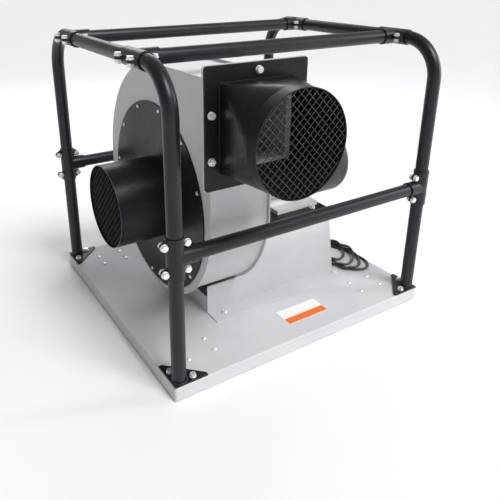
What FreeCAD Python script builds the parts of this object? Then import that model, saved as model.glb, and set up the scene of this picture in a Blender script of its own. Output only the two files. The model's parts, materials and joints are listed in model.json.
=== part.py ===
"""Radial air mover: a belt-free centrifugal fan and its motor on a sheet-steel tray, in a tube cage.

All sizes are millimetres. The shapes are worked out in tray coordinates: the origin is the
tray's front left corner on the ground, X runs along the fan shaft, Y to the rear and Z up.
At the end every part is moved so that the origin is the bottom centre of the whole object.
"""
import FreeCAD, Part
import math
import os

V = FreeCAD.Vector
AXES = {"x": V(1, 0, 0), "y": V(0, 1, 0), "z": V(0, 0, 1)}

# ---- tray ----
TRAY_W = 750.0
TRAY_D = 700.0
TRAY_TOP = 36.0
TRAY_LIP = 3.0            # the folded lip ends this far above the ground
TRAY_SHEET = 2.0
TRAY_RETURN = 14.0        # width of the lip's inward return
TRAY_CORNER_R = 6.0
TRAY_EDGE_R = 3.0
FOOT_INSET_X = 105.0      # centres of the rubber feet, from the tray's edges
FOOT_INSET_Y = 94.0
FOOT_SIZE = (94.0, 72.0)
FOOT_SCREW_PITCH = (68.0, 47.0)

# ---- tube cage ----
TUBE_R = 16.0
TUBE_WALL = 2.0
POST_INSET = 20.0
BAR_HEIGHT = 700.0        # axis of the hoops' top runs and of the top bars
HOOP_BEND_R = 92.0
TOP_BAR_INSET = 156.0
MID_BAR_HEIGHT = 333.0
FOOT_PLATE_T = 4.0
FOOT_PLATE_LEG = 80.0
FOOT_BOLT_NEAR = 13.0
FOOT_BOLT_FAR = 50.0
BAR_END_GAP = 2.0

# ---- tee clamps ----
SLEEVE_R = 19.0
SLEEVE_FIT = 0.05
CLAMP_LENGTH = 90.0
CLAMP_ARM = 46.0
CLAMP_LUG_R = 7.5         # rounded end of each lug, about its bolt
CLAMP_SHEET = 3.0
CLAMP_SPLIT = 0.2         # half of the gap between the two halves
CLAMP_BOLT = (25.0, 29.5)  # bolt offsets across the run and along it

# ---- metric fasteners: shank radius, head across flats, head height, washer radius ----
M8 = {"shank": 4.0, "flats": 13.0, "head": 5.3, "washer": 8.0, "nut": 6.8}
M6 = {"shank": 3.0, "flats": 10.0, "head": 4.0, "washer": 6.0, "nut": 5.0}
M5 = {"shank": 2.5, "flats": 8.0, "head": 3.5, "washer": 5.0, "nut": 4.0}
WASHER_T = 1.6
HOLE_FIT = 0.4
THREAD_FIT = 0.1

# ---- scroll housing ----
AXIS_Y = 325.0
AXIS_Z = 334.0
SCROLL_X0 = 128.0
SCROLL_X1 = 284.0
SIDE_SHEET = 2.5
WRAP_SHEET = 2.0
RIM = 7.0                 # the side plates stand this far outside the wrapper
SCROLL_FRONT = 65.0
SCROLL_R_FRONT = 257.0    # radii of the outline's three arcs, front, back and top
SCROLL_R_BACK = 278.0
SCROLL_R_TOP = 298.0
SCROLL_BOTTOM = 86.0
MOUTH_Y = 24.0
MOUTH_BOTTOM = 490.0
TONGUE_R = 20.0
INLET_OPENING_R = 215.0
SHAFT_OPENING_R = 32.0

# ---- inlet ----
DUCT_R = 100.0            # outside of the inlet collar
DUCT_WALL = 2.0
INLET_END_X = -6.0
INLET_PLATE_R = 235.0
INLET_PLATE_T = 3.0
INLET_SCREW_R = 224.0
INLET_SCREWS = 12
INLET_SCREW_START = 9.5
CONE_THROAT_R = 92.0
CONE_END_X = 172.0

# ---- outlet ----
OUTLET_END_Y = -122.0
COLLAR_START_Y = -94.0
OUTLET_R = 104.0          # outside of the outlet collar and of the adapter's round end
OUTLET_X = 208.0
OUTLET_Z = 576.0
COLLAR_DROP = 8.0         # the round end sits this much lower than the square end
PLATE_W = 240.0
PLATE_H = 242.0
PLATE_T = 4.0
PLATE_CORNER_R = 6.0
FRAME_T = 3.0
FRAME_EXTRA = 1.5         # the grey duct frame shows this much around the black plate
ADAPTER_SQUARE = 176.0
ADAPTER_CORNER_R = 5.0
ADAPTER_CREASE = 3.0      # degrees of the circle that each flat side of the adapter runs out to
OUTLET_BOLT_SIDE = 106.0
OUTLET_BOLT_STEP = 60.0

# ---- wire guards ----
WIRE_R = 0.7
WIRE_PITCH = 12.0
GUARD_FIT = 0.6           # gap between the wires' ends and the collar
INLET_GUARD_IN = 5.0      # how far each guard stands inside its collar
OUTLET_GUARD_IN = 3.0

# ---- impeller ----
IMPELLER_R = 200.0
BLADE_COUNT = 12
BLADE_X0 = 168.0
BLADE_X1 = 248.0
BLADE_R0 = 112.0
BLADE_R1 = 197.0
EYE_R = 105.0

# ---- motor ----
SHAFT_R = 12.0
BEARING_SEAT_R = 12.5
BEARING_FIT = 0.03
CORE_SHAFT_R = 14.0
SHAFT_X0 = 222.0
SHAFT_X1 = 640.0
BEARING_R = 26.0
BEARING_W = 15.0
DRIVE_BEARING_X = 325.0   # where each bearing starts
REAR_BEARING_X = 579.0
BODY_X0 = 340.0
BODY_X1 = 578.0
BODY_R = 78.0
BODY_WALL = 8.0
FIN_R = 88.0
FIN_COUNT = 36
STACK_X0 = 400.0
STACK_X1 = 520.0
ROTOR_R = 45.0
AIR_GAP = 0.5
DRIVE_SHIELD_X0 = 322.0
REAR_SHIELD_X1 = 594.0
SHIELD_BOSS = (38.0, 6.0)  # radius and height of the boss round each bearing
FAN_X0 = 606.0
FAN_HUB_R = 20.0
FAN_BLADE_R = 78.0
FAN_BLADES = 8
FAN_SHAFT_R = 10.0
COWL_X0 = 588.0
COWL_X1 = 697.0
COWL_R = 95.0
COWL_SHEET = 1.5
FEET_X0 = 434.0
FEET_X1 = 572.0
FEET_HALF_SPAN = 98.0
FOOT_BOLT_SPREAD = 85.0   # the motor's foot bolts, from the shaft's plane
FOOT_BOLT_INSET = 14.0
MOTOR_FOOT_T = 11.0
MOTOR_THREAD = 9.0        # how far the motor's bolts screw into its feet, from below

# ---- switch box ----
BOX_X0 = 430.0
BOX_X1 = 530.0
BOX_Y0 = 402.0
BOX_Y1 = 448.0
BOX_Z0 = 300.0
BOX_Z1 = 370.0
BOX_WALL = 3.0
LID_T = 4.0
ROCKER_TILT = 10.0

# ---- pedestal ----
PED_FRONT = 200.0
PED_REAR = 450.0
PED_LEFT = 199.0
PED_WALL = 286.5          # wall beside the scroll
PED_RIGHT_FOOT = 623.0
PED_RIGHT_TOP = 592.0
PED_LOW_TOP = 84.0
PED_NOSE_TOP = 114.0      # panels' edge under the scroll
PED_TOP = 238.0
PED_SHEET = 2.5
PED_FLANGE = 48.0
PED_SHELF = 28.0          # width of the strips that carry the top plate
FLANGE_BOLT_X = (237.0, 611.0)
SHELF_BOLT_X = (330.0, 545.0)
SIDE_BOLT_HALF = 90.0     # bolts through the scroll's right plate: half spacing and heights
SIDE_BOLT_Z = (150.0, 215.0)
TOP_PLATE_T = 6.0
TOP_PLATE_X1 = 585.0

# ---- label ----
LABEL = (347.0, 51.0, 125.0, 59.0, 0.6)

# ---- cord ----
CORD_D = 7.0
GLAND_Y = 428.0
GLAND_Z = 332.0
GLAND_BODY = 12.0
BOOT_LENGTH = 30.0
CORD_EXIT_X = BOX_X1 + GLAND_BODY + BOOT_LENGTH
CORD_LIE_Z = TRAY_TOP + CORD_D / 2 + 0.3
PLUG_R = 18.0
LEAD_ROUTE = [
    (CORD_EXIT_X, GLAND_Y, GLAND_Z),
    (610, GLAND_Y, GLAND_Z),
    (641, 437, 300),
    (655, 444, 258),
    (662, 447, 205),
    (668, 446, 150),
    (674, 437, 98),
    (681, 416, 60),
    (690, 382, CORD_LIE_Z + 0.2),
    (697, 346, CORD_LIE_Z),
]
TAIL_ROUTE = [
    (655, 342, CORD_LIE_Z),
    (651, 372, CORD_LIE_Z),
    (652, 408, CORD_LIE_Z),
    (656, 450, CORD_LIE_Z),
    (648, 497, CORD_LIE_Z),
    (617, 533, CORD_LIE_Z + 4),
    (582, 542, TRAY_TOP + PLUG_R + 0.3),
    (546, 542, TRAY_TOP + PLUG_R + 0.3),
]
COIL_OUTLINE = [(650, 341), (697, 345), (734, 320), (744, 262), (744, 172), (716, 143), (668, 143),
                (637, 172), (637, 290)]
COIL_HEIGHT = 30.0
TIE_CENTRE = (648.0, 259.5, TRAY_TOP + 12.5)
TIE_R = 12.0
TIE_W = 5.0

# ---- whole object ----
ROW_ORIGIN = V(TRAY_W / 2, (OUTLET_END_Y + TRAY_D) / 2, 0)


# ------------------------------------------------------------------ shape helpers
def box(x0, y0, z0, x1, y1, z1):
    """Block between two corners."""
    return Part.makeBox(x1 - x0, y1 - y0, z1 - z0, V(x0, y0, z0))


def rod(start, axis, length, radius):
    """Cylinder that starts at a point and runs along a named axis."""
    return Part.makeCylinder(radius, length, V(*start), AXES[axis])


def tube(start, axis, length, outer, inner):
    """Hollow cylinder."""
    return rod(start, axis, length, outer).cut(rod(start, axis, length, inner))


def shaft_disc(x0, x1, radius):
    """Cylinder about the fan shaft's axis."""
    return rod((x0, AXIS_Y, AXIS_Z), "x", x1 - x0, radius)


def shaft_ring(x0, x1, outer, inner):
    """Ring about the fan shaft's axis."""
    return shaft_disc(x0, x1, outer).cut(shaft_disc(x0, x1, inner))


def on_shaft(x, radius, degrees):
    """Point at a radius and angle about the shaft; 0 degrees points to the rear."""
    angle = math.radians(degrees)
    return V(x, AXIS_Y + radius * math.cos(angle), AXIS_Z + radius * math.sin(angle))


def polygon_prism(points, sweep):
    """Flat outline through the points, swept along a vector."""
    corners = [V(*p) for p in points]
    outline = Part.makePolygon(corners + corners[:1])
    return Part.Face(outline).extrude(sweep)


def revolved(profile):
    """Solid of revolution about the shaft from (x, radius) corners."""
    corners = [V(x, AXIS_Y, AXIS_Z + radius) for x, radius in profile]
    face = Part.Face(Part.makePolygon(corners + corners[:1]))
    return face.revolve(V(0, AXIS_Y, AXIS_Z), AXES["x"], 360)


def hexagon(centre, axis, flats, height):
    """Hexagonal prism for a bolt head or nut, swept along a named axis."""
    radius = flats / math.sqrt(3)
    along = AXES[axis]
    first = AXES["y"] if axis == "x" else AXES["x"]
    second = along.cross(first)
    corners = []
    for k in range(6):
        angle = math.radians(60 * k)
        corners.append(V(*centre) + first * (radius * math.cos(angle)) + second * (radius * math.sin(angle)))
    face = Part.Face(Part.makePolygon(corners + corners[:1]))
    return face.extrude(along * height)


def bolt(face_point, axis, size, shank, toward=1):
    """Hex bolt with washer. Its head stands on face_point and points along toward * axis."""
    along = AXES[axis] * toward
    base = V(*face_point)
    washer = Part.makeCylinder(size["washer"], WASHER_T, base, along)
    head_base = base + along * WASHER_T
    head = hexagon(head_base, axis, size["flats"], size["head"] * toward)
    flats = size["flats"]
    head = head.common(Part.makeCone(flats * 0.62, flats * 0.5, size["head"], head_base, along))
    stem = Part.makeCylinder(size["shank"], shank + 1, base + along, along * -1)
    return washer.fuse([head, stem])


def nut(face_point, axis, size, toward=1):
    """Hex nut that sits on face_point, on the side that toward * axis points to."""
    along = AXES[axis] * toward
    base = V(*face_point)
    body = hexagon(base, axis, size["flats"], size["nut"] * toward)
    return body.cut(Part.makeCylinder(size["shank"], size["nut"], base, along))


def button_screw(face_point, direction, size, shank):
    """Round-headed screw. Its head stands on face_point and points along direction."""
    base = V(*face_point)
    head_r = size["shank"] * 1.85
    head = Part.makeCone(head_r, head_r * 0.62, size["head"] * 0.7, base, direction)
    socket_base = base + direction * (size["head"] * 0.3)
    socket = Part.makeCylinder(size["shank"] * 0.5, size["head"], socket_base, direction)
    stem = Part.makeCylinder(size["shank"], shank + 0.5, base + direction * 0.5, direction * -1)
    return head.cut(socket).fuse(stem)


def drill(points, axis, radius, length):
    """Drills for a row of holes, each starting at its point."""
    return [rod(p, axis, length, radius) for p in points]


def group(shapes):
    """Separate solids kept together in one node."""
    return Part.makeCompound(shapes)


def four_corners(inset_x, inset_y):
    """The four points at the same inset from the tray's edges, with the signs that point inwards."""
    found = []
    for x, sx in ((inset_x, 1), (TRAY_W - inset_x, -1)):
        for y, sy in ((inset_y, 1), (TRAY_D - inset_y, -1)):
            found.append((x, y, sx, sy))
    return found


# ------------------------------------------------------------------ tray and feet
def foot_screw_points():
    points = []
    for x, y, _, _ in four_corners(FOOT_INSET_X, FOOT_INSET_Y):
        for dx in (-0.5, 0.5):
            for dy in (-0.5, 0.5):
                points.append((x + dx * FOOT_SCREW_PITCH[0], y + dy * FOOT_SCREW_PITCH[1]))
    return points


def foot_bolt_points():
    points = []
    for x, y, sx, sy in four_corners(0, 0):
        points.append((x + sx * FOOT_BOLT_NEAR, y + sy * FOOT_BOLT_FAR))
        points.append((x + sx * FOOT_BOLT_FAR, y + sy * FOOT_BOLT_NEAR))
    return points


def pedestal_bolt_points():
    offset = PED_FLANGE * 0.42
    return [(x, y) for x in FLANGE_BOLT_X for y in (PED_FRONT - offset, PED_REAR + offset)]


def base_tray():
    outer = box(0, 0, TRAY_LIP, TRAY_W, TRAY_D, TRAY_TOP)
    uprights = [e for e in outer.Edges if abs(e.Vertexes[0].Z - e.Vertexes[1].Z) > 1]
    outer = outer.makeFillet(TRAY_CORNER_R, uprights)
    rim = [e for e in outer.Edges if min(v.Z for v in e.Vertexes) > TRAY_TOP - 0.1]
    outer = outer.makeFillet(TRAY_EDGE_R, rim)
    t, r = TRAY_SHEET, TRAY_RETURN
    hollow = box(t, t, TRAY_LIP + t, TRAY_W - t, TRAY_D - t, TRAY_TOP - t)
    mouth = box(r, r, TRAY_LIP - 1, TRAY_W - r, TRAY_D - r, TRAY_TOP - t)
    low = TRAY_TOP - t - 1
    drills = drill([(x, y, low) for x, y in foot_screw_points()], "z", M6["shank"] + HOLE_FIT, 5)
    drills += drill([(x, y, low) for x, y in foot_bolt_points()], "z", M8["shank"] + HOLE_FIT, 5)
    drills += drill([(x, y, low) for x, y in pedestal_bolt_points()], "z", M6["shank"] + HOLE_FIT, 5)
    return outer.cut([hollow, mouth] + drills)


def rubber_feet():
    feet = []
    length, width = FOOT_SIZE
    for x, y, _, _ in four_corners(FOOT_INSET_X, FOOT_INSET_Y):
        low = box(x - length / 2, y - width / 2, 0, x + length / 2, y + width / 2, TRAY_TOP - TRAY_SHEET)
        edges = [e for e in low.Edges if abs(e.Vertexes[0].Z - e.Vertexes[1].Z) > 1]
        pad = low.makeFillet(9, edges)
        holes = []
        for dx in (-0.5, 0.5):
            for dy in (-0.5, 0.5):
                start = (x + dx * FOOT_SCREW_PITCH[0], y + dy * FOOT_SCREW_PITCH[1], TRAY_TOP - 22)
                holes.append(rod(start, "z", 22, M6["shank"]))
        feet.append(pad.cut(holes))
    return group(feet)


def foot_screws():
    return group([button_screw((x, y, TRAY_TOP), AXES["z"], M6, 18) for x, y in foot_screw_points()])


# ------------------------------------------------------------------ cage
def hoop_path(x):
    """Centre line of one hoop: up, over to the rear and down again."""
    bottom = TRAY_TOP + FOOT_PLATE_T
    front, rear, top, r = POST_INSET, TRAY_D - POST_INSET, BAR_HEIGHT, HOOP_BEND_R
    k = r * (1 - math.sqrt(0.5))
    edges = [
        Part.LineSegment(V(x, front, bottom), V(x, front, top - r)).toShape(),
        Part.Arc(V(x, front, top - r), V(x, front + k, top - k), V(x, front + r, top)).toShape(),
        Part.LineSegment(V(x, front + r, top), V(x, rear - r, top)).toShape(),
        Part.Arc(V(x, rear - r, top), V(x, rear - k, top - k), V(x, rear, top - r)).toShape(),
        Part.LineSegment(V(x, rear, top - r), V(x, rear, bottom)).toShape(),
    ]
    return Part.Wire(edges)


def swept(path, start, direction, radius):
    """Round bar along a path."""
    profile = Part.Wire(Part.Circle(V(*start), V(*direction), radius).toShape())
    return path.makePipeShell([profile], True, False)


def hoop(x):
    path = hoop_path(x)
    start = (x, POST_INSET, TRAY_TOP + FOOT_PLATE_T)
    outer = swept(path, start, (0, 0, 1), TUBE_R)
    inner = swept(path, start, (0, 0, 1), TUBE_R - TUBE_WALL)
    return outer.cut(inner)


def foot_plates():
    plates = []
    for x, y, sx, sy in four_corners(1, 1):
        leg, tip = FOOT_PLATE_LEG, 8.0
        outline = [
            (x, y, TRAY_TOP),
            (x + sx * leg, y, TRAY_TOP),
            (x + sx * leg, y + sy * tip, TRAY_TOP),
            (x + sx * tip, y + sy * leg, TRAY_TOP),
            (x, y + sy * leg, TRAY_TOP),
        ]
        plates.append(polygon_prism(outline, V(0, 0, FOOT_PLATE_T)))
    holes = drill([(px, py, TRAY_TOP - 1) for px, py in foot_bolt_points()], "z", M8["shank"] + HOLE_FIT, 8)
    return group([p.cut(holes) for p in plates])


def foot_bolts():
    solids = []
    under = TRAY_TOP - TRAY_SHEET
    for x, y in foot_bolt_points():
        solids.append(bolt((x, y, TRAY_TOP + FOOT_PLATE_T), "z", M8, 17))
        solids.append(nut((x, y, under), "z", M8, -1))
    return group(solids)


def cross_bar(y, z):
    """Tube along X between the two hoops, stopping just short of each."""
    x0 = POST_INSET + TUBE_R + BAR_END_GAP
    length = TRAY_W - 2 * x0
    return tube((x0, y, z), "x", length, TUBE_R, TUBE_R - TUBE_WALL)


def front_top_bar():
    return cross_bar(TOP_BAR_INSET, BAR_HEIGHT)


def rear_top_bar():
    return cross_bar(TRAY_D - TOP_BAR_INSET, BAR_HEIGHT)


def front_mid_bar():
    return cross_bar(POST_INSET, MID_BAR_HEIGHT)


def rear_mid_bar():
    return cross_bar(TRAY_D - POST_INSET, MID_BAR_HEIGHT)


def tee_frames(level):
    """Centre, arm side, run axis and split axis of the four clamps at one level."""
    frames = []
    for x, side in ((POST_INSET, 1), (TRAY_W - POST_INSET, -1)):
        if level == "top":
            for y in (TOP_BAR_INSET, TRAY_D - TOP_BAR_INSET):
                frames.append((V(x, y, BAR_HEIGHT), side, "y", "z", 1))
        else:
            frames.append((V(x, POST_INSET, MID_BAR_HEIGHT), side, "z", "y", -1))
            frames.append((V(x, TRAY_D - POST_INSET, MID_BAR_HEIGHT), side, "z", "y", 1))
    return frames


def clamp_bolt_offsets(run, side):
    across, along = CLAMP_BOLT
    return [AXES["x"] * (a * side) + AXES[run] * b for a in (-across, across) for b in (-along, along)]


def clamp_lug(face_centre, run, out, across_way, along_way):
    """Flat lug of a clamp half: it slopes from the sleeve's end down to a round end about its bolt."""
    across, along = CLAMP_BOLT
    slope = CLAMP_LUG_R * math.sqrt(0.5)
    end = CLAMP_LENGTH / 2 - 1
    outline = [(0, end), (SLEEVE_R - 1, end), (across + slope, along + slope)]
    outline += [(across, along - CLAMP_LUG_R), (0, along - CLAMP_LUG_R)]
    corners = [face_centre + AXES["x"] * (a * across_way) + AXES[run] * (b * along_way) for a, b in outline]
    web = Part.Face(Part.makePolygon(corners + corners[:1])).extrude(out * CLAMP_SHEET)
    eye = face_centre + AXES["x"] * (across * across_way) + AXES[run] * (along * along_way)
    return web.fuse(Part.makeCylinder(CLAMP_LUG_R, CLAMP_SHEET, eye, out))


def clamp_half(centre, side, run, split, toward):
    """One pressed half of a tee clamp, on the side of the split that toward points to."""
    out = AXES[split] * toward
    run_start = centre - AXES[run] * (CLAMP_LENGTH / 2)
    arm = AXES["x"] * side
    face_centre = centre + out * CLAMP_SPLIT
    lugs = [clamp_lug(face_centre, run, out, a, b) for a in (-1, 1) for b in (-1, 1)]
    body = Part.makeCylinder(SLEEVE_R, CLAMP_LENGTH, run_start, AXES[run])
    body = body.fuse(Part.makeCylinder(SLEEVE_R, CLAMP_ARM, centre, arm))
    reach = 2 * CLAMP_ARM
    keep = Part.makeBox(2 * reach, 2 * reach, 2 * reach, centre - V(reach, reach, reach))
    keep.translate(out * (reach + CLAMP_SPLIT))
    body = body.common(keep).fuse(lugs)
    fit = TUBE_R + SLEEVE_FIT
    tools = [
        Part.makeCylinder(fit, CLAMP_LENGTH + 2, run_start - AXES[run], AXES[run]),
        Part.makeCylinder(fit, CLAMP_ARM + 1, centre, arm),
    ]
    for offset in clamp_bolt_offsets(run, side):
        tools.append(Part.makeCylinder(M8["shank"] + HOLE_FIT, 8, centre + offset - out * 2, out))
        seat = face_centre + offset + out * CLAMP_SHEET
        tools.append(Part.makeCylinder(M8["washer"] + 0.2, SLEEVE_R, seat, out))
    return body.cut(tools)


def clamp_halves(level, outward):
    """The four halves that face away from the cage, or the four that face into it."""
    halves = []
    for centre, side, run, split, outside in tee_frames(level):
        toward = outside if outward else -outside
        halves.append(clamp_half(centre, side, run, split, toward))
    return group(halves)


def clamp_bolts():
    solids = []
    face = CLAMP_SPLIT + CLAMP_SHEET
    for level in ("top", "mid"):
        for centre, side, run, split, outside in tee_frames(level):
            out = AXES[split] * outside
            for offset in clamp_bolt_offsets(run, side):
                head = centre + offset + out * face
                tail = centre + offset - out * face
                solids.append(bolt(tuple(head), split, M8, 2 * face + M8["nut"] + 2, outside))
                solids.append(nut(tuple(tail), split, M8, -outside))
    return group(solids)


# ------------------------------------------------------------------ scroll housing
def scroll_outline(x, inset):
    """Closed spiral outline with its outlet duct, drawn inset from the side plates' edge."""
    bottom_y = SCROLL_FRONT + SCROLL_R_FRONT
    back_z = SCROLL_BOTTOM + SCROLL_R_BACK
    top_y = bottom_y + SCROLL_R_BACK - SCROLL_R_TOP
    front = (bottom_y, SCROLL_BOTTOM + SCROLL_R_FRONT, SCROLL_R_FRONT - inset)
    back = (bottom_y, back_z, SCROLL_R_BACK - inset)
    top = (top_y, back_z, SCROLL_R_TOP - inset)

    def at(arc, degrees):
        cy, cz, radius = arc
        angle = math.radians(degrees)
        return V(x, cy + radius * math.cos(angle), cz + radius * math.sin(angle))

    def sweep(arc, start, end):
        return Part.Arc(at(arc, start), at(arc, (start + end) / 2), at(arc, end)).toShape()

    def line(a, b):
        return Part.LineSegment(a, b).toShape()

    mouth_low = MOUTH_BOTTOM + inset
    tongue = (SCROLL_FRONT + inset - TONGUE_R, mouth_low - TONGUE_R, TONGUE_R)
    mouth_top = V(x, MOUTH_Y, at(top, 90).z)
    mouth_bottom = V(x, MOUTH_Y, mouth_low)
    edges = [
        line(mouth_top, at(top, 90)),
        sweep(top, 90, 0),
        sweep(back, 360, 270),
        sweep(front, 270, 180),
        line(at(front, 180), at(tongue, 0)),
        sweep(tongue, 0, 90),
        line(at(tongue, 90), mouth_bottom),
        line(mouth_bottom, mouth_top),
    ]
    return Part.Wire(edges)


def scroll_block(x0, x1, inset):
    return Part.Face(scroll_outline(x0, inset)).extrude(V(x1 - x0, 0, 0))


def inlet_screw_points(x):
    step = 360 / INLET_SCREWS
    return [on_shaft(x, INLET_SCREW_R, INLET_SCREW_START + k * step) for k in range(INLET_SCREWS)]


def side_bolt_points(x):
    """Where the scroll's right plate is bolted to the pedestal's wall."""
    return [(x, AXIS_Y + s * SIDE_BOLT_HALF, z) for s in (-1, 1) for z in SIDE_BOLT_Z]


def scroll_left_plate():
    plate = scroll_block(SCROLL_X0, SCROLL_X0 + SIDE_SHEET, 0)
    opening = shaft_disc(SCROLL_X0 - 1, SCROLL_X0 + SIDE_SHEET + 1, INLET_OPENING_R)
    holes = drill([tuple(p) for p in inlet_screw_points(SCROLL_X0 - 1)], "x", M5["shank"] + HOLE_FIT, 6)
    return plate.cut([opening] + holes)


def scroll_right_plate():
    plate = scroll_block(SCROLL_X1 - SIDE_SHEET, SCROLL_X1, 0)
    opening = shaft_disc(SCROLL_X1 - SIDE_SHEET - 1, SCROLL_X1 + 1, SHAFT_OPENING_R)
    holes = drill(side_bolt_points(SCROLL_X1 - 5), "x", M8["shank"] + HOLE_FIT, 8)
    return plate.cut([opening] + holes)


def scroll_wrapper():
    x0, x1 = SCROLL_X0 + SIDE_SHEET, SCROLL_X1 - SIDE_SHEET
    outer = scroll_block(x0, x1, RIM)
    inner = scroll_block(x0 - 1, x1 + 1, RIM + WRAP_SHEET)
    return outer.cut(inner)


def outlet_bolt_points(y):
    """Bolts round the outlet plate: one at the middle of its top and bottom, two on each side."""
    points = [(OUTLET_X, y, OUTLET_Z + s * OUTLET_BOLT_SIDE) for s in (-1, 1)]
    points += [(OUTLET_X + s * OUTLET_BOLT_SIDE, y, OUTLET_Z + d) for s in (-1, 1)
               for d in (-OUTLET_BOLT_STEP, OUTLET_BOLT_STEP / 2)]
    return points


def upright_plate(y0, y1, width, height, corner):
    """Upright plate with rounded corners, centred on the outlet."""
    x0, z0 = OUTLET_X - width / 2, OUTLET_Z - height / 2
    plate = box(x0, y0, z0, x0 + width, y1, z0 + height)
    edges = [e for e in plate.Edges if abs(e.Vertexes[0].Y - e.Vertexes[1].Y) > 0.5]
    return plate.makeFillet(corner, edges)


def outlet_duct_flange():
    y0, y1 = MOUTH_Y - FRAME_T, MOUTH_Y
    frame = upright_plate(y0, y1, PLATE_W + 2 * FRAME_EXTRA, PLATE_H + 2 * FRAME_EXTRA, PLATE_CORNER_R)
    mouth = scroll_block(SCROLL_X0 + SIDE_SHEET, SCROLL_X1 - SIDE_SHEET, RIM + WRAP_SHEET)
    mouth.translate(V(0, -10, 0))
    holes = drill(outlet_bolt_points(y0 - 1), "y", M8["shank"] + HOLE_FIT, 8)
    return frame.cut([mouth] + holes)


# ------------------------------------------------------------------ inlet
def inlet_plate():
    x1 = SCROLL_X0
    plate = shaft_ring(x1 - INLET_PLATE_T, x1, INLET_PLATE_R, DUCT_R - DUCT_WALL)
    holes = drill([tuple(p) for p in inlet_screw_points(x1 - 6)], "x", M5["shank"] + HOLE_FIT, 9)
    return plate.cut(holes)


def inlet_spigot():
    x1 = SCROLL_X0 - INLET_PLATE_T
    return shaft_ring(INLET_END_X, x1, DUCT_R, DUCT_R - DUCT_WALL)


def inlet_cone():
    x0 = SCROLL_X0
    outer_r = DUCT_R + 12
    profile = [
        (x0, DUCT_R - DUCT_WALL),
        (x0, outer_r),
        (x0 + 2, outer_r),
        (x0 + 2, DUCT_R),
        (CONE_END_X, CONE_THROAT_R + 2),
        (CONE_END_X, CONE_THROAT_R),
        (x0 + 2, DUCT_R - DUCT_WALL),
    ]
    return revolved(profile)


def inlet_plate_screws():
    out = AXES["x"] * -1
    face = SCROLL_X0 - INLET_PLATE_T
    return group([button_screw(tuple(p), out, M5, 9) for p in inlet_screw_points(face)])


def guard(centre, plane_axis, radius):
    """Round guard of two layers of crossed wires in a wire ring, its face square to plane_axis."""
    along = AXES[plane_axis]
    flat = AXES["y"] if plane_axis == "x" else AXES["x"]
    up = AXES["z"]
    wires = []
    count = int(radius / WIRE_PITCH)
    for layer, (ux, uz) in enumerate(((1, 1), (1, -1))):
        direction = (flat * ux + up * uz).normalize()
        step = (flat * -ux + up * uz).normalize()
        for k in range(-count, count + 1):
            offset = k * WIRE_PITCH
            half = math.sqrt(radius ** 2 - offset ** 2) if abs(offset) < radius else 0
            if half < WIRE_PITCH / 2:
                continue
            middle = V(*centre) + step * offset + along * (2 * WIRE_R * (layer - 0.5))
            wires.append(Part.makeCylinder(WIRE_R, 2 * half, middle - direction * half, direction))
    return group(wires)


def inlet_guard():
    return guard((INLET_END_X + INLET_GUARD_IN, AXIS_Y, AXIS_Z), "x", DUCT_R - DUCT_WALL - GUARD_FIT)


# ------------------------------------------------------------------ outlet adapter
def outlet_flange_plate():
    y1 = MOUTH_Y - FRAME_T
    plate = upright_plate(y1 - PLATE_T, y1, PLATE_W, PLATE_H, PLATE_CORNER_R)
    half = ADAPTER_SQUARE / 2 - DUCT_WALL
    hole = box(OUTLET_X - half, y1 - PLATE_T - 1, OUTLET_Z - half, OUTLET_X + half, y1 + 1, OUTLET_Z + half)
    holes = drill(outlet_bolt_points(y1 - PLATE_T - 1), "y", M8["shank"] + HOLE_FIT, 8)
    return plate.cut([hole] + holes)


def square_wire(y, side, corner):
    """Square with small round corners, as eight edges from the middle of its right side's top."""
    half, edges = side / 2, []
    for k in range(4):
        turn = math.radians(90 * k)

        def at(u, w):
            x = u * math.cos(turn) - w * math.sin(turn)
            z = u * math.sin(turn) + w * math.cos(turn)
            return V(OUTLET_X + x, y, OUTLET_Z + z)

        inner = half - corner
        bend = inner + corner * math.sqrt(0.5)
        edges.append(Part.LineSegment(at(half, -inner), at(half, inner)).toShape())
        edges.append(Part.Arc(at(half, inner), at(bend, bend), at(inner, half)).toShape())
    return Part.Wire(edges)


def round_wire(y, radius, short):
    """Circle as eight arcs, four short ones that face the square's sides and four long ones."""
    edges = []
    for k in range(4):
        for start, end in ((-short, short), (short, 90 - short)):
            points = []
            for degrees in (start, (start + end) / 2, end):
                angle = math.radians(degrees + 90 * k)
                points.append(V(OUTLET_X + radius * math.cos(angle), y,
                                OUTLET_Z - COLLAR_DROP + radius * math.sin(angle)))
            edges.append(Part.Arc(*points).toShape())
    return Part.Wire(edges)


def outlet_transition():
    y1 = MOUTH_Y - FRAME_T - PLATE_T
    skins = []
    for inset in (0, DUCT_WALL):
        square = square_wire(y1, ADAPTER_SQUARE - 2 * inset, ADAPTER_CORNER_R - inset / 2)
        circle = round_wire(COLLAR_START_Y, OUTLET_R - inset, ADAPTER_CREASE)
        skins.append(Part.makeLoft([square, circle], True, True))
    outer, inner = skins
    return outer.cut(inner)


def outlet_collar():
    """Straight ring at the adapter's round end, for a duct and its band clamp."""
    centre = (OUTLET_X, OUTLET_END_Y, OUTLET_Z - COLLAR_DROP)
    return tube(centre, "y", COLLAR_START_Y - OUTLET_END_Y, OUTLET_R, OUTLET_R - DUCT_WALL)


def outlet_guard():
    centre = (OUTLET_X, OUTLET_END_Y + OUTLET_GUARD_IN, OUTLET_Z - COLLAR_DROP)
    return guard(centre, "y", OUTLET_R - DUCT_WALL - GUARD_FIT)


def outlet_bolts():
    solids = []
    face = MOUTH_Y - FRAME_T - PLATE_T
    for x, y, z in outlet_bolt_points(face):
        solids.append(bolt((x, y, z), "y", M8, PLATE_T + FRAME_T + M8["nut"] + 2, -1))
        solids.append(nut((x, MOUTH_Y, z), "y", M8, 1))
    return group(solids)


# ------------------------------------------------------------------ impeller
def impeller_back_plate():
    return shaft_ring(BLADE_X1, BLADE_X1 + 3, IMPELLER_R, 28)


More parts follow.
